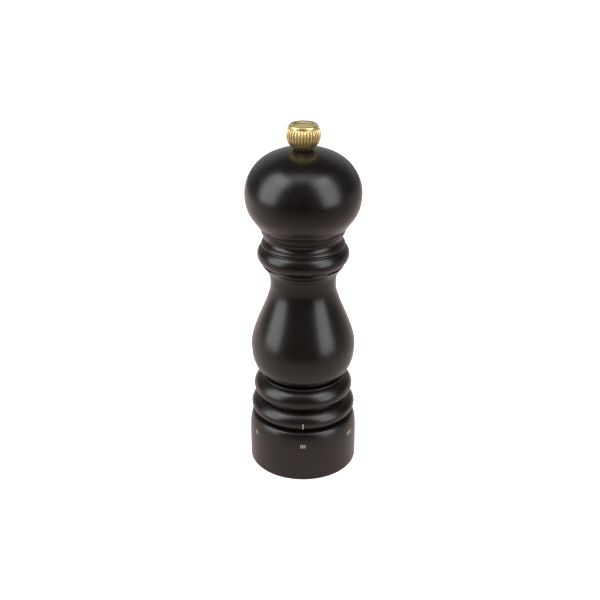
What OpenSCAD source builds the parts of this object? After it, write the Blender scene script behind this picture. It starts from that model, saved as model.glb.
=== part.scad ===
// Table pepper mill: turned wooden head and body, a ring at the base that sets the grind,
// and a steel burr mechanism on a square drive shaft.
// Millimetres, +Z up the mill's axis, origin at the centre of the foot.
// The front, where the index tick is, faces -Y. The base ring stands at its third setting.

/* [Base ring] */
// Outer radius of the base ring
ring_r = 27.5; // [26.9:0.1:28.4]
// Height of the base ring
ring_h = 27.2; // [27.1:0.05:27.3]
// Height at which the ring's shoulder starts to round over
ring_shoulder_z = 14; // [12:0.5:18]
// Number of click settings round the ring
setting_count = 6; // [3:1:8]

/* [Body] */
// Underside of the wooden body
body_z0 = 27.45; // [27.4:0.05:27.55]
// Top of the wooden body
body_z1 = 129.75; // [129.65:0.05:129.8]
// Radius of the lower bead
low_bead_r = 26.5; // [26:0.1:27]
// Radius of the bead above it
high_bead_r = 25.05; // [24.5:0.05:25.5]
// Largest radius of the belly
belly_r = 26.15; // [25:0.1:27]
// Smallest radius of the neck
neck_r = 16.25; // [15.8:0.05:17]
// Radius of the large bead under the head
collar_bead_r = 22.55; // [22:0.05:23]
// Radius of the pepper hopper's bore
hopper_r = 12.9; // [12.85:0.05:13]

/* [Head] */
// Largest radius of the head
head_r = 28.1; // [27:0.05:29]
// Height of the head's top
head_top_z = 167.3; // [167.2:0.05:167.35]
// Radius of the spigot that enters the body
spigot_r = 12.6; // [12.4:0.05:12.65]

/* [Knob] */
// Largest radius of the knob
knob_r = 8.15; // [7.9:0.05:8.6]
// Top of the knob, which is the height of the mill
knob_top_z = 179; // [178.9:0.05:179.2]
// Number of ribs round the knob
rib_count = 34; // [24:1:40]

/* [Mechanism] */
// Side of the square drive shaft
shaft_side = 6; // [5.8:0.1:6.2]
// Outer radius of the stator housing
housing_r = 15; // [15:0.05:15.05]
// Bore radius of the stator housing
housing_bore = 13.2; // [13.2:0.01:13.25]
// Widest radius of the male burr
burr_r = 10.6; // [10.2:0.1:10.7]
// Number of teeth on the male burr
male_teeth = 20; // [12:1:24]
// Number of teeth on the female burr
female_teeth = 24; // [12:1:30]

/* [Hidden] */
$fn = 96;

wood = [0.16, 0.12, 0.10];
brass = [0.78, 0.60, 0.30];
steel = [0.70, 0.71, 0.73];
spring_steel = [0.45, 0.46, 0.48];
felt = [0.12, 0.12, 0.12];

seat_gap = 0.02;      // pressed or seated pieces of one body
run_gap = 0.05;       // radial clearance of running fits
over = 1;             // how far a cutter passes a face

// heights up the mechanism
housing_z0 = 4;
snap_z = 5;           // retaining ring
sleeve_z0 = 6;
sleeve_z1 = 20;
carrier_z0 = 9;
carrier_z1 = 25;
lug_z0 = 10;
lug_h = 4.5;
male_z0 = 10;
male_z1 = 30;
bridge_z0 = 38;
bridge_z1 = 40.5;
bush_z0 = 36;
bush_top = 41.5;
housing_top = 41;
flange_z0 = body_z0 + 0.5;
flange_z1 = flange_z0 + 1.2;
square_z0 = 42.35;
square_z1 = 160;
shaft_top = 174.5;
plate_z0 = 111.9;
plate_z1 = 113.9;
head_z0 = 130.05;
knob_z0 = 167.8;
click_z = body_z0 - 0.5;  // top of the detent plate
ball_z = click_z + 0.1;   // bottom of the detent ball
click_top = 36;           // top of the detent spring's hole

// radii in the mechanism
sleeve_r = 19.2;
lug_r = 17;
flange_r = 21;
journal_r = 3.5;
top_thread_r = 2.4;
low_thread_r = 2.5;
pocket_r = 12.3;      // seat of the female burr in its carrier
bush_r = 4.4;
insert_r = 3.3;
screw_pcd_r = 18;
detent_r = 18.2;
ball_r = 1.5;
detent_angle = 30;
plate_r = 10.8;
plate_screw_x = 8;
burr_slope = 5 / 18;  // fall of the burr cone's radius per unit of height

// ---------- outlines ----------

// Cubic curve from a to d with handles b and c
function curve(a, b, c, d, n = 12) =
    [for (i = [0:n]) let (t = i / n, s = 1 - t)
        s * s * s * a + 3 * s * s * t * b + 3 * s * t * t * c + t * t * t * d];

// Arc of an ellipse about [r, z] from angle a0 to a1
function arc(r, z, a, b, a0, a1, n = 10) =
    [for (i = [0:n]) let (t = a0 + (a1 - a0) * i / n) [r + a * cos(t), z + b * sin(t)]];

function ring_outline() = concat(
    arc(ring_r - 0.6, 0.6, 0.6, 0.6, -90, 0, 4),
    curve([ring_r, ring_shoulder_z], [ring_r, 20.5], [ring_r - 0.3, 23.6], [26.05, 26.2]),
    curve([26.05, 26.2], [25.95, 26.6], [25.7, 26.85], [25.3, 26.9], 4),
    [[22.6, ring_h]]);

// From the foot of the body to its top: two beads, a listel, the belly and neck, a bead, a cove and a lip
function body_outline() = concat(
    arc(16.9, 32, low_bead_r - 16.9, 5.85, -asin((32 - body_z0) / 5.85), 62, 18),
    arc(17.4, 42.75, high_bead_r - 17.4, 6.15, -60, 65, 18),
    [[20.9, 48.5], [20.9, 49.2], [17.1, 49.2]],
    curve([17.1, 49.9], [21.5, 49.9], [belly_r - 0.1, 53.7], [belly_r, 66], 14),
    curve([belly_r, 66], [belly_r, 75.1], [neck_r, 90.6], [neck_r, 98.4], 18),
    curve([neck_r, 98.4], [neck_r, 101], [neck_r + 0.2, 103.2], [neck_r + 0.8, 105.2], 8),
    [[neck_r + 1.4, 105.7]],
    curve([17.9, 106.2], [18.2, 107.2], [19, 108], [19.9, 109.1], 8),
    [[20.3, 109.7]],
    [for (z = [110.3:0.65:114.86]) [collar_bead_r - 7 + 7 * sqrt(1 - pow((114.85 - z) / 5.65, 2)), z]],
    arc(collar_bead_r - 5.5, 114.85, 5.5, 5.4, 5, 48, 8),
    [[20.2, 119.1], [19.9, 119.4], [20, 119.8], [20.45, 120], [20.45, 120.6], [20.1, 121.2],
        [19.75, 121.35]],
    curve([19.9, 121.7], [18, 122.4], [18.2, 125.9], [20.2, 126.2], 12),
    [[20.5, 126.6], [20.5, 127.5], [20.85, 127.9], [20.85, 129.35], [20.5, body_z1]]);

// From the head's underside to its top: lip and crown
function head_outline() = concat(
    [[21.8, head_z0], [22.25, 130.25]],
    curve([22.45, 130.6], [23.9, 133.2], [head_r, 136.4], [head_r, 145.4], 16),
    curve([head_r, 145.4], [head_r, 153.4], [23.36, 160.44], [16.56, 163.69], 16),
    curve([16.56, 163.69], [12.9, 165.44], [8.6, 167], [4, head_top_z], 10));

function knob_outline() = concat(
    curve([4.4, knob_z0], [6, 168], [knob_r - 0.05, 170.9], [knob_r, 173.7], 12),
    curve([knob_r, 173.7], [knob_r, 175.4], [7.9, 176.5], [7.35, 177.35], 8),
    arc(6.15, knob_top_z - 0.85, 0.85, 0.85, -35, 90, 8),
    [[5.55, 178.65], [5, 178.2], [4.6, 178.05]],
    curve([4.2, 178.15], [2.9, 178.35], [1.4, 178.4], [0, 178.4], 6));

module turned(outline, z0, z1) {
    rotate_extrude()
        polygon(concat([[0, z0]], outline, [[0, z1]]));
}

module tube(r_out, r_in, z0, z1) {
    translate([0, 0, z0])
        difference() {
            cylinder(r = r_out, h = z1 - z0);
            translate([0, 0, -over])
                cylinder(r = r_in, h = z1 - z0 + 2 * over);
        }
}

module hole(r, z0, z1) {
    translate([0, 0, z0])
        cylinder(r = r, h = z1 - z0);
}

// Copies of the children round the axis
module around(count, start = 0) {
    for (i = [0:count - 1])
        rotate(start + i * 360 / count)
            children();
}

// Round wire wound about the axis, its end turns closed up flat
module coil(mean_r, wire_r, z0, z1, turns, per_turn = 14, sides = 8) {
    steps = turns * per_turn;
    lead = z1 - z0 - 2 * wire_r;
    rings = [for (i = [0:steps]) let (t = i / steps, rise = t * t * (3 - 2 * t), a = 360 * turns * t)
        for (k = [0:sides - 1]) let (b = 360 * k / sides, r = mean_r + wire_r * cos(b))
            [r * cos(a), r * sin(a), z0 + wire_r + lead * rise + wire_r * sin(b)]];
    walls = [for (i = [0:steps - 1]) for (k = [0:sides - 1]) let (n = (k + 1) % sides)
        [i * sides + k, i * sides + n, (i + 1) * sides + n, (i + 1) * sides + k]];
    start_cap = [[for (k = [sides - 1:-1:0]) k]];
    end_cap = [[for (k = [0:sides - 1]) steps * sides + k]];
    polyhedron(points = rings, faces = concat(start_cap, walls, end_cap), convexity = 8);
}

// ---------- wooden pieces ----------

module mill_body() {
    color(wood)
        difference() {
            turned(body_outline(), body_z0, body_z1);
            hole(hopper_r, body_z0 - over, body_z1 + over);
            hole(housing_r + seat_gap, body_z0 - over, housing_top + 0.2);
            hole(flange_r + 0.2, body_z0 - over, flange_z1);
            around(3, 90)
                translate([screw_pcd_r, 0, 0])
                    hole(1.4, body_z0, 36.5);
            rotate(detent_angle)
                translate([detent_r, 0, 0])
                    hole(ball_r + 0.2, body_z0, click_top);
        }
}

module head() {
    color(wood)
        difference() {
            union() {
                turned(head_outline(), head_z0, head_top_z);
                hole(spigot_r, plate_z0, head_z0 + over);
            }
            hole(4.7, plate_z0 - over, 160.2);
            hole(4, 160, head_top_z + over);
            hole(plate_r + seat_gap, plate_z0 - over, plate_z1);
            around(2)
                translate([plate_screw_x, 0, 0])
                    hole(1, plate_z0, 120.6);
        }
}

module adjusting_ring() {
    color(wood)
        difference() {
            turned(ring_outline(), 0, ring_h);
            hole(17.5, -over, ring_h + over);
            hole(sleeve_r + seat_gap, 3, ring_h + over);
            hole(22.5, click_z - 1, ring_h + over);
        }
}

// ---------- knob and what it screws to ----------

module knob() {
    flute_r = 0.4;
    color(brass)
        difference() {
            turned(knob_outline(), knob_z0, 178.4);
            hole(insert_r + seat_gap, knob_z0 - over, 174.4);
            hole(top_thread_r + 0.3, 174, 175.5);
            around(rib_count)
                translate([knob_r + 0.1, 0, 0])
                    hole(flute_r, 169, 177);
        }
}

module knob_insert() {
    color(steel)
        tube(insert_r, top_thread_r + run_gap, knob_z0 + 0.3, 174.3);
}

module knob_washer() {
    color(felt)
        tube(4.3, top_thread_r + 0.3, head_top_z + 0.05, knob_z0 - 0.05);
}

module head_ferrule() {
    color(brass)
        tube(4 - seat_gap, 2.7, 160.4, head_top_z - 0.05);
}

module drive_plate() {
    color(steel)
        difference() {
            tube(plate_r, 2, plate_z0, plate_z1);
            translate([-shaft_side / 2 - 0.15, -shaft_side / 2 - 0.15, plate_z0 - over])
                cube([shaft_side + 0.3, shaft_side + 0.3, 4]);
            around(2)
                translate([plate_screw_x, 0, 0])
                    hole(1.1, plate_z0 - over, plate_z1 + over);
        }
}

module drive_plate_screws() {
    color(steel)
        around(2)
            translate([plate_screw_x, 0, 0])
                difference() {
                    union() {
                        hole(2.2, plate_z0 - 1.2, plate_z0 - seat_gap);
                        hole(1 - seat_gap, plate_z0 - 0.5, 120.4);
                    }
                    translate([-0.3, -over - 2, plate_z0 - 1.2 - over])
                        cube([0.6, 6, over + 0.6]);
                }
}

// ---------- shaft and its bearing ----------

module drive_shaft() {
    color(steel)
        difference() {
            union() {
                hole(low_thread_r, 5.6, 11);
                hole(journal_r, 10.2, square_z0);
                translate([-shaft_side / 2, -shaft_side / 2, square_z0])
                    cube([shaft_side, shaft_side, square_z1 - square_z0]);
                hole(top_thread_r, square_z1 - over, shaft_top);
            }
            tube(journal_r + over, 3, 34.8, 35.9);
            translate([-8, 0, 26])
                rotate([0, 90, 0])
                    cylinder(r = 0.9, h = 16);
        }
}

module bearing_bridge() {
    color(steel)
        difference() {
            union() {
                tube(14 - seat_gap, 11.5, bridge_z0, bridge_z1);
                hole(6.2, bridge_z0, bridge_z1);
                around(3, 30)
                    translate([0, -2, bridge_z0])
                        cube([12, 4, bridge_z1 - bridge_z0]);
            }
            hole(bush_r + seat_gap, bridge_z0 - over, bridge_z1 + over);
        }
}

module shaft_bush() {
    color(brass)
        difference() {
            union() {
                hole(bush_r, bush_z0, bridge_z1 + 0.5);
                hole(6, bridge_z1 + seat_gap, bush_top);
            }
            hole(journal_r + run_gap, bush_z0 - over, bush_top + over);
        }
}

module thrust_washer() {
    color(brass)
        tube(5.8, journal_r + seat_gap, bush_top + 0.1, square_z0 - seat_gap);
}

module shaft_clip() {
    color(spring_steel)
        difference() {
            tube(5.2, 3 + seat_gap, 34.95, 35.75);
            translate([0, -1.8, 34])
                cube([8, 3.6, 3]);
        }
}

// ---------- burrs ----------

module male_burr() {
    cone_mid = (male_z0 + 2 + male_z1) / 2;
    mid_r = burr_r - burr_slope * (cone_mid - male_z0 - 2);
    color(spring_steel)
        difference() {
            turned([[burr_r - 0.8, male_z0], [burr_r, male_z0 + 0.8], [burr_r, male_z0 + 2],
                [burr_r - burr_slope * (male_z1 - male_z0 - 2), male_z1]], male_z0, male_z1);
            hole(journal_r + seat_gap, male_z0 - over, male_z1 + over);
            around(male_teeth)
                translate([mid_r, 0, cone_mid])
                    rotate([14, -atan(burr_slope), 0])
                        cube([1.1, 0.8, 26], center = true);
            translate([-8, 0, 26])
                rotate([0, 90, 0])
                    cylinder(r = 0.9, h = 16);
        }
}

module burr_pin() {
    color(spring_steel)
        translate([-5.8, 0, 26])
            rotate([0, 90, 0])
                cylinder(r = 0.88, h = 11.6);
}

module burr_washer() {
    color(steel)
        tube(7, low_thread_r + seat_gap, 9.1, male_z0 - seat_gap);
}

module burr_nut() {
    color(steel)
        difference() {
            translate([0, 0, 6])
                cylinder(r = 4.6, h = 3.05, $fn = 6);
            hole(low_thread_r + seat_gap, 5, 10);
        }
}

module female_burr() {
    grind_r = burr_r + 0.85;
    choke_z = 16;
    choke_r = grind_r - burr_slope * (choke_z - 10.5);
    color(spring_steel)
        difference() {
            hole(pocket_r - seat_gap, 10.5 + seat_gap, carrier_z1);
            rotate_extrude()
                polygon([[0, 9.5], [grind_r + burr_slope, 9.5], [choke_r, choke_z],
                    [10.7, carrier_z1], [10.7, carrier_z1 + over], [0, carrier_z1 + over]]);
            around(female_teeth)
                translate([choke_r + 0.3, 0, choke_z])
                    rotate([-12, -atan(burr_slope), 0])
                        cube([0.8, 0.7, 11], center = true);
        }
}

module burr_carrier() {
    color(steel)
        difference() {
            union() {
                hole(housing_bore - 0.1, carrier_z0, carrier_z1);
                around(3, 30)
                    intersection() {
                        translate([0, -2.5, lug_z0])
                            cube([lug_r + 2, 5, lug_h]);
                        hole(lug_r, lug_z0, lug_z0 + lug_h);
                    }
            }
            hole(pocket_r, 10.5, carrier_z1 + over);
            hole(11.7, carrier_z0 - over, 11);
        }
}

module crown_spring() {
    color(spring_steel)
        coil(12.45, 0.5, carrier_z1 + 0.05, bridge_z0 - 0.05, 5);
}

// ---------- housing, ring drive and clicks ----------

module stator_housing() {
    color(steel)
        difference() {
            union() {
                hole(housing_r, housing_z0, housing_top);
                hole(flange_r, flange_z0, flange_z1);
            }
            hole(housing_bore, housing_z0 - over, housing_top);
            hole(14, bridge_z0, housing_top + over);
            tube(housing_r + over, housing_r - 0.8, snap_z - 0.1, snap_z + 1);
            around(3, 30)
                translate([0, -2.65, housing_z0 - over])
                    cube([housing_r + over, 5.3, 17.6 - housing_z0]);
            around(3, 90)
                translate([screw_pcd_r, 0, flange_z0])
                    cylinder(r1 = 2.7, r2 = 1.45, h = flange_z1 - flange_z0);
            rotate(detent_angle)
                translate([detent_r, 0, 0])
                    hole(ball_r + 0.1, flange_z0 - over, flange_z1 + over);
        }
}

module housing_screws() {
    color(steel)
        around(3, 90)
            translate([screw_pcd_r, 0, flange_z0])
                difference() {
                    union() {
                        translate([0, 0, seat_gap])
                            cylinder(r1 = 2.62, r2 = 1.38, h = flange_z1 - flange_z0 - seat_gap);
                        cylinder(r = 1.38, h = 8.3);
                    }
                    translate([-3, -0.35, -over])
                        cube([6, 0.7, over + 0.6]);
                }
}

module threaded_sleeve() {
    color(brass)
        difference() {
            hole(sleeve_r, sleeve_z0, sleeve_z1);
            hole(lug_r + run_gap, sleeve_z0 + 2, sleeve_z1 + over);
            hole(housing_r + run_gap, sleeve_z0 - over, sleeve_z1);
        }
}

module detent_plate() {
    color(steel)
        difference() {
            tube(22.5 - seat_gap, 16, click_z - 1 + seat_gap, click_z);
            around(setting_count, detent_angle)
                translate([detent_r, 0, 0])
                    hole(1.2, click_z - 2, click_z + over);
        }
}

module detent_ball() {
    color(steel)
        rotate(detent_angle)
            translate([detent_r, 0, ball_z + ball_r])
                sphere(r = ball_r);
}

module detent_spring() {
    color(spring_steel)
        rotate(detent_angle)
            translate([detent_r, 0, 0])
                coil(1.15, 0.25, ball_z + 2 * ball_r + 0.05, click_top - 0.1, 5, 10, 6);
}

module retaining_ring() {
    color(spring_steel)
        difference() {
            tube(16.6, housing_r - 0.75, snap_z, snap_z + 0.9);
            translate([0, -1.5, snap_z - over])
                cube([20, 3, 3]);
        }
}

mill_body();
head();
adjusting_ring();
knob();
knob_insert();
knob_washer();
head_ferrule();
drive_plate();
drive_plate_screws();
drive_shaft();
bearing_bridge();
shaft_bush();
thrust_washer();
shaft_clip();
male_burr();
burr_pin();
burr_washer();
burr_nut();
female_burr();
burr_carrier();
crown_spring();
stator_housing();
housing_screws();
threaded_sleeve();
detent_plate();
detent_ball();
detent_spring();
retaining_ring();
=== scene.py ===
import math

import bpy
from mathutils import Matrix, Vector


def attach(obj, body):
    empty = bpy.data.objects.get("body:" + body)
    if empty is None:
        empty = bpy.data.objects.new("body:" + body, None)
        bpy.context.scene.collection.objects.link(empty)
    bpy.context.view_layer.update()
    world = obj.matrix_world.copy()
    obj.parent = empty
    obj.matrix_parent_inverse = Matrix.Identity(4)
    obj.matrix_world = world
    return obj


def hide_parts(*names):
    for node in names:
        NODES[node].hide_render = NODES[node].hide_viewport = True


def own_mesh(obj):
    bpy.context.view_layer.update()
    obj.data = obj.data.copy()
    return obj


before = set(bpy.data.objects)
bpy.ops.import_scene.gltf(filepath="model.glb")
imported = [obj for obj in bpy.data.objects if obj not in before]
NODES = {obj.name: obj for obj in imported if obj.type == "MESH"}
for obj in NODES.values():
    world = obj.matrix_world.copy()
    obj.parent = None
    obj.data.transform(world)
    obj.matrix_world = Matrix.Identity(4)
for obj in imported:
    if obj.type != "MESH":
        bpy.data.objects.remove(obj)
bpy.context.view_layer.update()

MM = 0.001

# ---------- outlines, in millimetres as (radius, height) ----------


def curve(a, b, c, d, n=24):
    """Cubic curve from a to d with handles b and c."""
    out = []
    for i in range(n + 1):
        t = i / n
        s = 1 - t
        out.append(tuple(
            s * s * s * a[k] + 3 * s * s * t * b[k] + 3 * s * t * t * c[k] + t * t * t * d[k]
            for k in (0, 1)
        ))
    return out


def arc(r, z, a, b, a0, a1, n=20):
    """Arc of an ellipse about (r, z) from angle a0 to a1 in degrees."""
    out = []
    for i in range(n + 1):
        t = math.radians(a0 + (a1 - a0) * i / n)
        out.append((r + a * math.cos(t), z + b * math.sin(t)))
    return out


RING_R = 27.5
RING_H = 27.2
BODY_Z0 = 27.45
BODY_Z1 = 129.75
HEAD_Z0 = 130.05
HEAD_TOP = 167.3
KNOB_Z0 = 167.8
KNOB_R = 8.15
KNOB_TOP = 179.0
LOW_BEAD = (16.9, 32, 9.6, 5.85)         # centre radius and height, half widths
HIGH_BEAD = (17.4, 42.75, 7.65, 6.15)
BELLY_R = 26.15
NECK_R = 16.25
COLLAR_R = 22.55
COLLAR_Z = 114.85                        # the collar bead's widest place
HEAD_R = 28.1

# Bores and recesses, each as its radius and the height where it ends
FOOT_BORE = (17.5, 3)
RING_BORE = (19.22, 25.95)
FLANGE_BORE = (21.2, 29.15)
HOUSING_BORE = (15.02, 41.2)
HOPPER_R = 12.9                          # open to the body's top
SPIGOT_R = 12.6
SPIGOT_Z0 = 111.9
PLATE_RECESS = (10.82, 113.9)
FERRULE_BORE = (4.7, 160.2)
SHAFT_HOLE_R = 4                         # open to the head's top
INSERT_BORE = (3.32, 174.4)
THREAD_HOLE = (2.7, 175.5)

RING_SHOULDER = (26.15, 25.8)            # where the ring's side meets its rounded top corner
RING_SIDE = curve((RING_R, 14), (RING_R, 20.5), (RING_R - 0.3, 23.4), RING_SHOULDER, 32)


def ring_profile():
    """The base ring: foot, side, rounded top corner, then down its bore."""
    return (
        arc(RING_R - 0.6, 0.6, 0.6, 0.6, -90, 0, 6)
        + RING_SIDE
        + curve(RING_SHOULDER, (25.85, 26.45), (25.3, 26.85), (24.3, 26.95), 16)[1:]
        + [(22.6, RING_H), (22.5, RING_BORE[1]), RING_BORE]
        + [(RING_BORE[0], FOOT_BORE[1]), FOOT_BORE, (FOOT_BORE[0], 0)]
    )


def body_profile():
    """The body: foot beads, listel, belly, neck, collar bead, cove and lip, then down its bore."""
    low_start = -math.degrees(math.asin((LOW_BEAD[1] - BODY_Z0) / LOW_BEAD[3]))
    collar_low = [
        (COLLAR_R - 7 + 7 * math.sqrt(1 - ((COLLAR_Z - z) / 5.65) ** 2), z)
        for z in (110.3 + 0.325 * i for i in range(15))
    ]
    return (
        arc(*LOW_BEAD, low_start, 62, 40)
        + arc(*HIGH_BEAD, -60, 65, 40)
        + [(20.9, 48.5), (20.9, 49.2), (17.1, 49.2)]
        + curve((17.1, 49.9), (21.5, 49.9), (BELLY_R - 0.1, 53.7), (BELLY_R, 66), 36)
        + curve((BELLY_R, 66), (BELLY_R, 75.1), (NECK_R, 90.6), (NECK_R, 98.4), 44)[1:]
        + curve((NECK_R, 98.4), (NECK_R, 101), (NECK_R + 0.2, 103.2), (NECK_R + 0.8, 105.2),
                14)[1:]
        + [(NECK_R + 1.4, 105.7)]
        + curve((17.9, 106.2), (18.2, 107.2), (19, 108), (19.9, 109.1), 14)
        + [(20.3, 109.7)]
        + collar_low
        + arc(COLLAR_R - 5.5, COLLAR_Z, 5.5, 5.4, 2, 48, 16)
        + [(20.2, 119.1), (19.9, 119.4), (20, 119.8), (20.45, 120)]
        + [(20.45, 120.6), (20.1, 121.2), (19.75, 121.35)]
        + curve((19.9, 121.7), (18, 122.4), (18.2, 125.9), (20.2, 126.2), 24)
        + [(20.5, 126.6), (20.5, 127.5), (20.85, 127.9), (20.85, 129.35), (20.5, BODY_Z1)]
        + [(HOPPER_R, BODY_Z1), (HOPPER_R, HOUSING_BORE[1]), HOUSING_BORE]
        + [(HOUSING_BORE[0], FLANGE_BORE[1]), FLANGE_BORE, (FLANGE_BORE[0], BODY_Z0)]
    )


def head_profile():
    """The head: outside from its lower edge to the top, then down its hole and the spigot."""
    return (
        [(21.8, HEAD_Z0), (22.25, 130.25)]
        + curve((22.45, 130.6), (23.9, 133.2), (HEAD_R, 136.4), (HEAD_R, 145.4), 36)
        + curve((HEAD_R, 145.4), (HEAD_R, 153.4), (23.36, 160.44), (16.56, 163.69), 40)[1:]
        + curve((16.56, 163.69), (12.9, 165.44), (8.6, 167), (4, HEAD_TOP), 20)[1:]
        + [(SHAFT_HOLE_R, FERRULE_BORE[1]), FERRULE_BORE, (FERRULE_BORE[0], PLATE_RECESS[1])]
        + [PLATE_RECESS, (PLATE_RECESS[0], SPIGOT_Z0), (SPIGOT_R, SPIGOT_Z0), (SPIGOT_R, HEAD_Z0)]
    )


def knob_profile():
    """The knob without its ribs: side, rim, groove and disc, then the hole from below."""
    return (
        curve((4.4, KNOB_Z0), (6, 168), (KNOB_R - 0.05, 170.9), (KNOB_R, 173.7), 30)
        + curve((KNOB_R, 173.7), (KNOB_R, 175.4), (7.9, 176.5), (7.35, 177.35), 16)[1:]
        + arc(6.15, KNOB_TOP - 0.85, 0.85, 0.85, -35, 90, 16)
        + [(5.55, 178.65), (5, 178.2), (4.6, 178.05)]
        + curve((4.2, 178.15), (2.9, 178.35), (1.4, 178.4), (0, 178.4), 16)
        + [(0, THREAD_HOLE[1]), THREAD_HOLE, (THREAD_HOLE[0], INSERT_BORE[1])]
        + [INSERT_BORE, (INSERT_BORE[0], KNOB_Z0)]
    )


# ---------- mesh building ----------

TINY = 1e-6
CORNER_POINTS = 6                        # points round each softened corner
CORNER_SHARE = 0.42                      # the most of a side that one corner may take
SHARP_TURN = 60                          # a corner that turns this many degrees counts as sharp
LONG_SIDE = 0.6                          # a side longer than this gets a close point at each end
CLOSE_POINT = 0.08                       # that point's distance from the corner
EDGE_FADE = 0.35                         # distance over which a corner's edge number fades


def soften(points, radius, limit=22):
    """The closed outline with each corner rounded. Returns (radius, height, edge): edge is how
    sharp a corner was, above 0 on an outer corner and below 0 in a groove."""
    out = []
    n = len(points)
    for i in range(n):
        p, q, s = (Vector(points[(i + k) % n]) for k in (-1, 0, 1))
        before, after = q - p, s - q
        if before.length < TINY or after.length < TINY:
            if after.length >= TINY:
                out.append((q.x, q.y, 0.0))
            continue
        turn = math.degrees(before.angle_signed(after))
        if abs(turn) < limit or q.x < TINY:
            out.append((q.x, q.y, 0.0))
            continue
        cut = min(radius, CORNER_SHARE * before.length, CORNER_SHARE * after.length)
        a = q - before.normalized() * cut
        b = q + after.normalized() * cut
        sharp = max(-1.0, min(1.0, -turn / SHARP_TURN))
        for k in range(CORNER_POINTS):
            t = k / (CORNER_POINTS - 1)
            m = a * (1 - t) ** 2 + q * 2 * t * (1 - t) + b * t * t
            out.append((m.x, m.y, sharp))
    return out


def dense(points, step):
    """The closed outline with no side longer than step, and a close point beside each corner."""
    out = []
    n = len(points)
    for i in range(n):
        a, b = points[i], points[(i + 1) % n]
        length = math.hypot(b[0] - a[0], b[1] - a[1])
        out.append(a)
        if length < 1e-9:
            continue
        parts = max(1, math.ceil(length / step))
        stops = [k / parts for k in range(1, parts)]
        if length > LONG_SIDE:
            stops = sorted(set(stops + [CLOSE_POINT / length, 1 - CLOSE_POINT / length]))
        for t in stops:
            near_a = max(0.0, 1 - t * length / EDGE_FADE)
            near_b = max(0.0, 1 - (1 - t) * length / EDGE_FADE)
            edge = near_a * a[2] + near_b * b[2]
            out.append((a[0] + (b[0] - a[0]) * t, a[1] + (b[1] - a[1]) * t, edge))
    return out


def mesh_piece(name, verts, faces, edge=None):
    """A smooth mesh object from points in metres, with the edge number kept on each point."""
    mesh = bpy.data.meshes.new(name)
    mesh.from_pydata(verts, [], faces)
    mesh.validate()
    mesh.shade_smooth()
    if edge:
        mesh.attributes.new("edge", "FLOAT", "POINT").data.foreach_set("value", edge)
    piece = bpy.data.objects.new(name, mesh)
    bpy.context.scene.collection.objects.link(piece)
    return piece


def lathe(name, outline, segments, shape=None):
    """Turns the closed outline about the Z axis. shape(angle, r, z, edge) may give each point
    another radius and edge number."""
    verts, edge, rows = [], [], []
    for r, z, e in outline:
        if r < TINY:
            rows.append([len(verts)] * segments)
            verts.append((0, 0, z * MM))
            edge.append(e)
            continue
        rows.append(range(len(verts), len(verts) + segments))
        for k in range(segments):
            a = 2 * math.pi * k / segments
            radius, mark = shape(a, r, z, e) if shape else (r, e)
            verts.append((radius * math.cos(a) * MM, radius * math.sin(a) * MM, z * MM))
            edge.append(mark)
    faces = []
    for i, low in enumerate(rows):
        high = rows[(i + 1) % len(rows)]
        for k in range(segments):
            n = (k + 1) % segments
            face = []
            for v in (low[k], low[n], high[n], high[k]):
                if v not in face:
                    face.append(v)
            if len(face) > 2:
                faces.append(face)
    return mesh_piece(name, verts, faces, edge)


RIBS = 34
RIB_DEPTH = 0.62
RIB_INNER_R = 4.3                        # nothing inside this radius is ribbed
RIB_TOP = 177.5
RIB_FADE_TOP = 177.45


def ribbed(angle, r, z, e):
    """Radius and edge number of the knob's ribs: round, with sharp valleys, fading at both ends."""
    if r < RIB_INNER_R or z > RIB_TOP or z < KNOB_Z0 + 0.02:
        return r, e
    fade = min(1.0, (z - KNOB_Z0) / 0.6) * min(1.0, max(0.0, (RIB_FADE_TOP - z) / 0.35))
    valley = 1 - abs(math.cos(RIBS * angle / 2))
    depth = RIB_DEPTH * fade * (r / KNOB_R)
    return r - depth * valley ** 1.3, -fade * valley ** 1.5


def coil(name, mean_r, wire_r, z0, z1, turns, per_turn=40, sides=12):
    """Round wire wound about the Z axis, its end turns closed up flat."""
    steps = turns * per_turn
    lead = z1 - z0 - 2 * wire_r
    verts = []
    for i in range(steps + 1):
        t = i / steps
        a = 2 * math.pi * turns * t
        z = z0 + wire_r + lead * t * t * (3 - 2 * t)
        for k in range(sides):
            b = 2 * math.pi * k / sides
            r = mean_r + wire_r * math.cos(b)
            height = z + wire_r * math.sin(b)
            verts.append((r * math.cos(a) * MM, r * math.sin(a) * MM, height * MM))
    faces = []
    for i in range(steps):
        low, high = i * sides, (i + 1) * sides
        for k in range(sides):
            n = (k + 1) % sides
            faces.append((low + k, low + n, high + n, high + k))
    faces.append(tuple(range(sides))[::-1])
    faces.append(tuple(range(steps * sides, (steps + 1) * sides)))
    return mesh_piece(name, verts, faces)


# ---------- painted marks ----------

PAINT_LIFT = 0.03                        # how far the paint stands off the wood
PAINT_SUNK = 0.02                        # how far its back lies in the wood
ACROSS = (-1.0, -0.8, -0.4, 0.0, 0.4, 0.8, 1.0)


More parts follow.
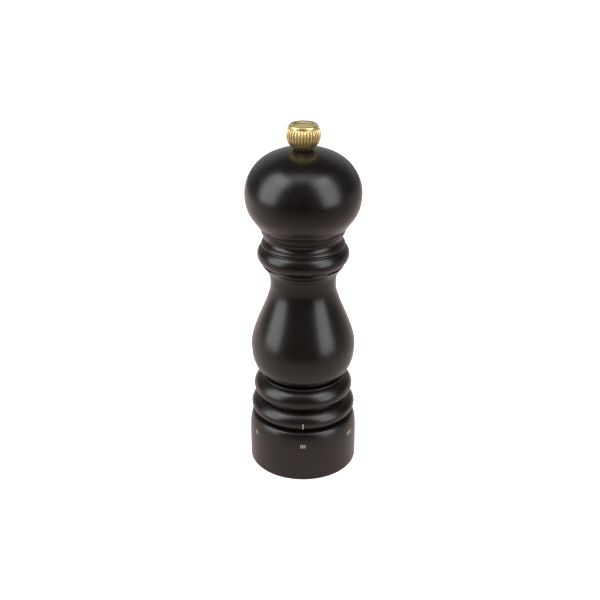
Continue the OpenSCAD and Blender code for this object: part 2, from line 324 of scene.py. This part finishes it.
def paint_strokes(name, path, offsets, half_width, centre_angle):
    """Painted strokes up a turned surface. path holds (radius, height, outward r, outward z) up
    the stroke; offsets are the strokes' middles in millimetres round the surface from
    centre_angle."""
    verts, faces = [], []
    wide = len(ACROSS)
    for number, offset in enumerate(offsets):
        for layer in (0, 1):
            for i, (r, z, nr, nz) in enumerate(path):
                t = i / (len(path) - 1)
                ragged = 1 + 0.06 * math.sin(9.1 * t + 2.3 * number + centre_angle)
                for x in ACROSS:
                    out = PAINT_LIFT * (1 - 0.5 * abs(x) ** 4) if layer else -PAINT_SUNK
                    rr, zz = r + nr * out, z + nz * out
                    a = centre_angle + (offset + x * half_width * ragged) / r
                    verts.append((rr * math.cos(a) * MM, rr * math.sin(a) * MM, zz * MM))
        count = len(path) * wide
        base = number * 2 * count
        for i in range(len(path) - 1):
            for k in range(wide - 1):
                a, b = base + i * wide + k, base + (i + 1) * wide + k
                faces.append((a, b, b + 1, a + 1))
                faces.append((a + count, a + count + 1, b + count + 1, b + count))
            a, b = base + i * wide, base + (i + 1) * wide
            faces.append((a, a + count, b + count, b))
            a, b = a + wide - 1, b + wide - 1
            faces.append((a, b, b + count, a + count))
        for k in range(wide - 1):
            a = base + k
            faces.append((a, a + 1, a + 1 + count, a + count))
            a = base + (len(path) - 1) * wide + k
            faces.append((a, a + count, a + 1 + count, a + 1))
    return mesh_piece(name, verts, faces)


# ---------- materials ----------


def map_range(tree, source, start, end, low, high, interpolation="LINEAR"):
    """The output of a node that maps start to end of source onto low to high."""
    node = tree.nodes.new("ShaderNodeMapRange")
    node.interpolation_type = interpolation
    for key, value in zip(("From Min", "From Max", "To Min", "To Max"), (start, end, low, high)):
        node.inputs[key].default_value = value
    tree.links.new(source, node.inputs["Value"])
    return node.outputs["Result"]


def multiply(tree, a, b):
    """The output of a node that multiplies two outputs."""
    node = tree.nodes.new("ShaderNodeMath")
    node.operation = "MULTIPLY"
    tree.links.new(a, node.inputs[0])
    tree.links.new(b, node.inputs[1])
    return node.outputs["Value"]


class Mat:
    """A node material with a Principled shader and a few shorthands."""

    def __init__(self, name):
        self.material = bpy.data.materials.new(name)
        self.material.use_nodes = True
        self.tree = self.material.node_tree
        self.shader = self.tree.nodes["Principled BSDF"]
        self.coords = self.tree.nodes.new("ShaderNodeTexCoord")

    def set(self, **values):
        for key, value in values.items():
            self.shader.inputs[key.replace("_", " ")].default_value = value

    def link(self, a, b):
        self.tree.links.new(a, b)

    def noise(self, scale, stretch=(1, 1, 1), detail=4.0, roughness=0.55):
        mapping = self.tree.nodes.new("ShaderNodeMapping")
        mapping.inputs["Scale"].default_value = stretch
        self.link(self.coords.outputs["Object"], mapping.inputs["Vector"])
        noise = self.tree.nodes.new("ShaderNodeTexNoise")
        noise.inputs["Scale"].default_value = scale
        noise.inputs["Detail"].default_value = detail
        noise.inputs["Roughness"].default_value = roughness
        self.link(mapping.outputs["Vector"], noise.inputs["Vector"])
        return noise.outputs["Fac"]

    def ramp(self, source, stops):
        ramp = self.tree.nodes.new("ShaderNodeValToRGB")
        while len(ramp.color_ramp.elements) < len(stops):
            ramp.color_ramp.elements.new(0.5)
        for element, (at, colour) in zip(ramp.color_ramp.elements, stops):
            element.position = at
            element.color = (*colour, 1)
        self.link(source, ramp.inputs["Fac"])
        return ramp.outputs["Color"]

    def spread(self, source, low, high, start=0.3, end=0.7):
        return map_range(self.tree, source, start, end, low, high)

    def attribute(self, name):
        node = self.tree.nodes.new("ShaderNodeAttribute")
        node.attribute_name = name
        return node.outputs["Fac"]

    def mix(self, factor, a, b):
        node = self.tree.nodes.new("ShaderNodeMix")
        node.data_type = "RGBA"
        self.link(factor, node.inputs["Factor"])
        for key, value in (("A", a), ("B", b)):
            socket = next(s for s in node.inputs if s.name == key and s.type == "RGBA")
            if isinstance(value, tuple):
                socket.default_value = (*value, 1)
            else:
                self.link(value, socket)
        return next(s for s in node.outputs if s.type == "RGBA")

    def product(self, a, b):
        return multiply(self.tree, a, b)

    def colour(self, source):
        self.link(source, self.shader.inputs["Base Color"])

    def rough(self, source):
        self.link(source, self.shader.inputs["Roughness"])

    def bump(self, source, strength, distance):
        node = self.tree.nodes.new("ShaderNodeBump")
        node.inputs["Strength"].default_value = strength
        node.inputs["Distance"].default_value = distance
        self.link(source, node.inputs["Height"])
        self.link(node.outputs["Normal"], self.shader.inputs["Normal"])


def lacquered_wood(name, rough):
    """Dark brown satin lacquer over turned beech: grain runs up the piece, edges show warmer, and
    grooves get painted shade.
    """
    m = Mat(name)
    streaks = m.noise(520, (1, 1, 0.07), 6, 0.6)
    pores = m.noise(2600, (1, 1, 0.045), 3, 0.5)
    tone = m.noise(46, (1, 1, 0.5), 3)
    grain = m.ramp(streaks, [(0.3, (0.0048, 0.0038, 0.0033)), (0.55, (0.0064, 0.0049, 0.0041)),
                             (0.8, (0.0096, 0.0068, 0.0054))])
    warm = m.mix(m.spread(tone, 0.0, 0.4), grain, (0.0088, 0.0062, 0.0049))
    worn = m.product(m.spread(m.attribute("edge"), 0.0, 0.7, 0.05, 0.9), m.spread(tone, 0.6, 1.0))
    edged = m.mix(worn, warm, (0.036, 0.026, 0.021))
    # Painted shade: the colour is darkened in grooves and inner corners, where the edge number is
    # below 0
    painted_groove_shade = m.spread(m.attribute("edge"), 0.0, 0.3, -0.1, -1.0)
    m.colour(m.mix(painted_groove_shade, edged, (0.0035, 0.0028, 0.0024)))
    m.rough(m.spread(streaks, rough - 0.015, rough + 0.02))
    m.bump(pores, 0.015, 0.00012)
    m.set(IOR=1.5, Specular_IOR_Level=0.5)
    return m.material


def brass(name, rough, tint=(1.0, 0.80, 0.40), dirt=(0.55, 0.38, 0.16)):
    """Brass, lightly brushed round, darker where dirt stays in grooves."""
    m = Mat(name)
    fine = m.noise(900, (1, 1, 1), 5)
    marks = m.noise(260, (0.25, 0.25, 6), 5)
    dark = tuple(c * 0.72 for c in tint)
    base = m.mix(m.spread(fine, 0.0, 0.25), tint, dark)
    groove = m.spread(m.attribute("edge"), 0.0, 0.6, -0.05, -1.0)
    m.colour(m.mix(groove, base, dirt))
    m.rough(m.spread(marks, rough - 0.03, rough + 0.05))
    m.bump(fine, 0.02, 0.00005)
    m.set(Metallic=1.0)
    return m.material


def metal(name, light, dark, rough, stretch, bump=0.08):
    """Plain steel with machining marks drawn out along one direction."""
    m = Mat(name)
    marks = m.noise(420, stretch, 6, 0.6)
    blotch = m.noise(120, (1, 1, 1), 4)
    m.colour(m.mix(m.spread(blotch, 0.0, 1.0), light, dark))
    m.rough(m.spread(marks, rough - 0.08, rough + 0.1))
    m.bump(marks, bump, 0.00005)
    m.set(Metallic=1.0)
    return m.material


def felt(name):
    """Black pressed felt."""
    m = Mat(name)
    fibres = m.noise(3200, (1, 1, 1), 8, 0.8)
    m.colour(m.ramp(fibres, [(0.3, (0.012, 0.012, 0.013)), (0.7, (0.05, 0.05, 0.052))]))
    m.rough(m.spread(fibres, 0.85, 1.0))
    m.bump(fibres, 0.6, 0.0003)
    m.set(Sheen_Weight=0.4, Sheen_Roughness=0.6)
    return m.material


def paint(name):
    """Cream marking paint, a little mottled."""
    m = Mat(name)
    mottle = m.noise(1500, (1, 1, 1), 6, 0.7)
    m.colour(m.ramp(mottle, [(0.3, (0.56, 0.48, 0.36)), (0.6, (0.74, 0.65, 0.50))]))
    m.rough(m.spread(mottle, 0.45, 0.7))
    m.bump(mottle, 0.15, 0.00004)
    return m.material


WOOD = lacquered_wood("lacquered_wood", 0.28)
RING_WOOD = lacquered_wood("ring_lacquer", 0.29)
BRASS = brass("knob_brass", 0.34)
PLAIN_BRASS = brass("turned_brass", 0.3, (0.72, 0.50, 0.22))
STEEL = metal("brushed_steel", (0.62, 0.62, 0.63), (0.44, 0.44, 0.45), 0.34, (0.3, 0.3, 5))
BURR = metal("hardened_steel", (0.26, 0.255, 0.25), (0.12, 0.12, 0.125), 0.42, (1, 1, 1), 0.25)
SPRING = metal("spring_wire", (0.42, 0.42, 0.43), (0.28, 0.28, 0.3), 0.3, (4, 4, 0.4))
FELT = felt("pressed_felt")
PAINT = paint("marking_paint")

# ---------- pieces ----------

TURNED_SEGMENTS = 240


def finish_piece(piece, body, material, slot, *nodes):
    """Gives the piece its look and rides it on body in place of the CAD's nodes. slot is not used.
    """
    piece.data.materials.append(material)
    if nodes:
        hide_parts(*nodes)
    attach(piece, body)
    return piece


finish_piece(lathe("ring_turned", dense(soften(ring_profile(), 0.25), 0.6), TURNED_SEGMENTS),
             "ring", RING_WOOD, "dark_wood", "adjusting_ring")
finish_piece(lathe("body_turned", dense(soften(body_profile(), 0.22), 0.6), TURNED_SEGMENTS),
             "root", WOOD, "dark_wood", "mill_body")
finish_piece(lathe("head_turned", dense(soften(head_profile(), 0.22), 0.6), TURNED_SEGMENTS),
             "head", WOOD, "dark_wood", "head")
finish_piece(lathe("knob_ribbed", dense(soften(knob_profile(), 0.12), 0.25), RIBS * 16, ribbed),
             "knob", BRASS, "brass", "knob")

# The burr carrier's spring, squeezed against the bridge as the carrier rises
SPRING_FOOT = 25.05
BRIDGE_Z0 = 38
crown_coil = finish_piece(coil("crown_coil", 12.45, 0.5, SPRING_FOOT, BRIDGE_Z0 - 0.05, 5),
                          "root", SPRING, "spring_steel", "crown_spring")
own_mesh(crown_coil)

# The six settings round the ring, and the index tick over them on the lowest bead
MARK_Z = 20.1
MARK_H = 2.1
MARK_STEPS = 8
STROKE = 0.34
PITCH = 1.04
TICK_WIDTH = 0.4
TICK_STEPS = 12


def ring_radius(z):
    """Outer radius of the base ring at height z."""
    for a, b in zip(RING_SIDE, RING_SIDE[1:]):
        if a[1] <= z <= b[1]:
            return a[0] + (b[0] - a[0]) * (z - a[1]) / (b[1] - a[1])
    return RING_R


heights = [MARK_Z + MARK_H * (i / MARK_STEPS - 0.5) for i in range(MARK_STEPS + 1)]
side_path = [(ring_radius(z), z, 1.0, 0.0) for z in heights]
MARKS = {"I": 120, "II": 60, "III": 0, "IIII": -60, "IIIII": -120, "IIIIII": 180}
for word, turn in MARKS.items():
    count = len(word)
    offsets = [PITCH * (k - (count - 1) / 2) for k in range(count)]
    piece = paint_strokes("mark_" + str(count), side_path, offsets, STROKE / 2,
                          math.radians(-90 - turn))
    finish_piece(piece, "ring", PAINT, "marking_paint")

tick_path = []
for i in range(TICK_STEPS + 1):
    t = math.radians(8 - 44 * i / TICK_STEPS)
    r, z, a, b = LOW_BEAD
    normal = Vector((math.cos(t) / a, math.sin(t) / b)).normalized()
    tick_path.append((r + a * math.cos(t), z + b * math.sin(t), normal.x, normal.y))
tick = paint_strokes("index_tick", tick_path[::-1], [0.0], TICK_WIDTH / 2, math.radians(-90))
finish_piece(tick, "root", PAINT, "marking_paint")

# The nodes that keep their CAD shape and only get a material
LOOKS = {
    "knob_insert": STEEL, "knob_washer": FELT, "head_ferrule": PLAIN_BRASS,
    "drive_plate": STEEL, "drive_plate_screws": STEEL, "drive_shaft": STEEL,
    "bearing_bridge": STEEL, "shaft_bush": PLAIN_BRASS, "thrust_washer": PLAIN_BRASS,
    "shaft_clip": SPRING, "male_burr": BURR, "burr_pin": SPRING, "burr_washer": STEEL,
    "burr_nut": STEEL, "female_burr": BURR, "burr_carrier": STEEL, "stator_housing": STEEL,
    "housing_screws": STEEL, "threaded_sleeve": PLAIN_BRASS, "detent_plate": STEEL,
    "detent_ball": STEEL, "detent_spring": SPRING, "retaining_ring": SPRING,
}
for node, look in LOOKS.items():
    data = NODES[node].data
    data.materials.clear()
    data.materials.append(look)

# ---------- stage, camera and light ----------

FLOOR = 6.0                              # half the floor's width in metres
FLOOR_DROP = 0.0001                      # keeps the floor clear of the foot's flat face
floor_mesh = bpy.data.meshes.new("floor")
floor_mesh.from_pydata(
    [(-FLOOR, -FLOOR, 0), (FLOOR, -FLOOR, 0), (FLOOR, FLOOR, 0), (-FLOOR, FLOOR, 0)],
    [], [(0, 1, 2, 3)],
)
floor = bpy.data.objects.new("floor", floor_mesh)
floor.location.z = -FLOOR_DROP
bpy.context.scene.collection.objects.link(floor)
pale = bpy.data.materials.new("pale_floor")
pale.use_nodes = True
nodes, links = pale.node_tree.nodes, pale.node_tree.links
shader = nodes["Principled BSDF"]
shader.inputs["Base Color"].default_value = (0.85, 0.85, 0.85, 1)
shader.inputs["Roughness"].default_value = 0.9
shader.inputs["Specular IOR Level"].default_value = 0.0
shader.inputs["Emission Color"].default_value = (1, 1, 1, 1)
shader.inputs["Emission Strength"].default_value = 0.9
# What the lacquer reflects: a floor that is darker at the front, at the sides and far behind
lit = nodes.new("ShaderNodeEmission")
lit.inputs["Color"].default_value = (1.0, 0.83, 0.78, 1)
place = nodes.new("ShaderNodeTexCoord")
split = nodes.new("ShaderNodeSeparateXYZ")
glow = None
for axis, stops in (("Y", (-0.6, 0.3, 0.0, 1.2)), ("Y", (0.5, 1.2, 1.0, 0.45)),
                    ("X", (0.0, 0.5, 0.95, 0.45)), ("X", (-0.9, -0.3, 0.3, 1.0))):
    fade = map_range(pale.node_tree, split.outputs[axis], *stops, "SMOOTHSTEP")
    glow = fade if glow is None else multiply(pale.node_tree, glow, fade)
links.new(place.outputs["Object"], split.inputs[0])
links.new(glow, lit.inputs["Strength"])
ray = nodes.new("ShaderNodeLightPath")
either = nodes.new("ShaderNodeMixShader")
links.new(ray.outputs["Is Camera Ray"], either.inputs["Fac"])
links.new(lit.outputs["Emission"], either.inputs[1])
links.new(shader.outputs["BSDF"], either.inputs[2])
links.new(either.outputs["Shader"], nodes["Material Output"].inputs["Surface"])
floor_mesh.materials.append(pale)

SENSOR = 36
FOCAL_SHARE = 1.706                      # focal length over the picture's width
camera_data = bpy.data.cameras.new("camera")
camera_data.sensor_width = SENSOR
camera_data.lens = FOCAL_SHARE * SENSOR
camera_data.clip_start = 0.01
camera = bpy.data.objects.new("camera", camera_data)
camera.location = (0, -0.46004, 0.31026)
CAMERA_DOWN, CAMERA_TURN = 25.68, 0.197  # degrees below level, and round the vertical
camera.rotation_euler = (math.radians(90 - CAMERA_DOWN), 0, math.radians(CAMERA_TURN))
bpy.context.scene.collection.objects.link(camera)
bpy.context.scene.camera = camera

MIDDLE = Vector((0, 0, 0.09))            # what the lights are aimed at


def softbox(name, azimuth, elevation, distance, width, height, power):
    """An area light aimed at the mill's middle, azimuth degrees from the front to the right."""
    data = bpy.data.lights.new(name, "AREA")
    data.shape = "RECTANGLE"
    data.size = width
    data.size_y = height
    data.energy = power
    light = bpy.data.objects.new(name, data)
    light.visible_camera = False
    a, e = math.radians(azimuth), math.radians(elevation)
    away = Vector((math.sin(a) * math.cos(e), -math.cos(a) * math.cos(e), math.sin(e)))
    light.location = MIDDLE + away * distance
    light.rotation_euler = away.to_track_quat("Z", "Y").to_euler()
    bpy.context.scene.collection.objects.link(light)


softbox("softbox_left", -73, 29, 1.2, 0.86, 1.6, 15.8)
softbox("softbox_right", 55, 29, 1.2, 0.74, 1.6, 12.8)
softbox("softbox_top", 0, 74, 1.3, 2.2, 0.5, 5.6)

world = bpy.data.worlds.new("studio")
bpy.context.scene.world = world
world.use_nodes = True
nodes, links = world.node_tree.nodes, world.node_tree.links
background = nodes["Background"]
coords = nodes.new("ShaderNodeTexCoord")
split = nodes.new("ShaderNodeSeparateXYZ")
links.new(coords.outputs["Generated"], split.inputs[0])
# The sky is brighter behind the mill and dimmer overhead; the camera sees plain white
behind = map_range(world.node_tree, split.outputs["Y"], 0.35, 1.15, 0.06, 0.65, "SMOOTHSTEP")
overhead = map_range(world.node_tree, split.outputs["Z"], 0.5, 0.85, 1.0, 0.25, "SMOOTHSTEP")
sky = multiply(world.node_tree, behind, overhead)
seen = nodes.new("ShaderNodeLightPath")
pick = nodes.new("ShaderNodeMix")
pick.data_type = "FLOAT"
links.new(seen.outputs["Is Camera Ray"], pick.inputs["Factor"])
links.new(sky, pick.inputs["A"])
pick.inputs["B"].default_value = 1.0
links.new(pick.outputs["Result"], background.inputs["Strength"])
background.inputs["Color"].default_value = (1, 1, 1, 1)

bpy.context.scene.view_settings.view_transform = "Standard"
